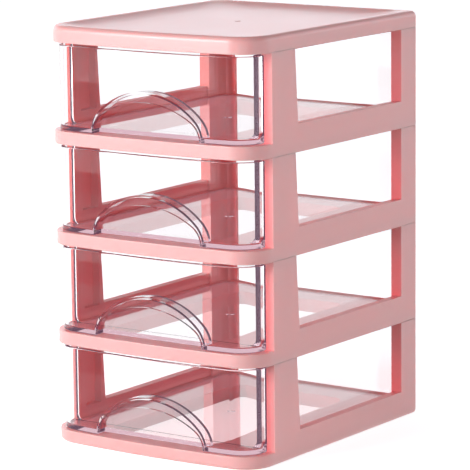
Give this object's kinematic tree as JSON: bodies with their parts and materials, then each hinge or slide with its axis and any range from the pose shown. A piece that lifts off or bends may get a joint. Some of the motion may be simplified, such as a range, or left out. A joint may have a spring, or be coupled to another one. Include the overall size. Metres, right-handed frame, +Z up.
{
  "type": "desktop mini drawers",
  "caption": "Stacked tower of clear open-topped drawers with arched finger recesses in pink plastic tier frames under a shallow tray cover, for small craft parts and stationery.",
  "frame": {"origin": "centre of the footprint, on the surface it stands on", "axes": "+Z up, -Y out of the drawers' fronts, +X to the right as one faces the drawers"},
  "size_m": [0.135, 0.164, 0.225],
  "materials": {
    "pink_plastic": "satin moulded polypropylene, pale salmon pink",
    "clear_plastic": "clear moulded polystyrene with a faint lavender tint"
  },
  "bodies": {
    "case": {"top_cover": "pink_plastic", "tier_frame_1": "pink_plastic", "tier_frame_2": "pink_plastic", "tier_frame_3": "pink_plastic", "tier_frame_4": "pink_plastic"},
    "drawer_1": {"drawer_1": "clear_plastic"},
    "drawer_2": {"drawer_2": "clear_plastic"},
    "drawer_3": {"drawer_3": "clear_plastic"},
    "drawer_4": {"drawer_4": "clear_plastic"}
  },
  "joints": [
    {"name": "drawer_1_slide", "type": "slide", "parent": "case", "child": "drawer_1", "axis": [0, -1, 0], "range_m": [0, 0.1]},
    {"name": "drawer_2_slide", "type": "slide", "parent": "case", "child": "drawer_2", "axis": [0, -1, 0], "range_m": [0, 0.1]},
    {"name": "drawer_3_slide", "type": "slide", "parent": "case", "child": "drawer_3", "axis": [0, -1, 0], "range_m": [0, 0.1]},
    {"name": "drawer_4_slide", "type": "slide", "parent": "case", "child": "drawer_4", "axis": [0, -1, 0], "range_m": [0, 0.1]}
  ]
}
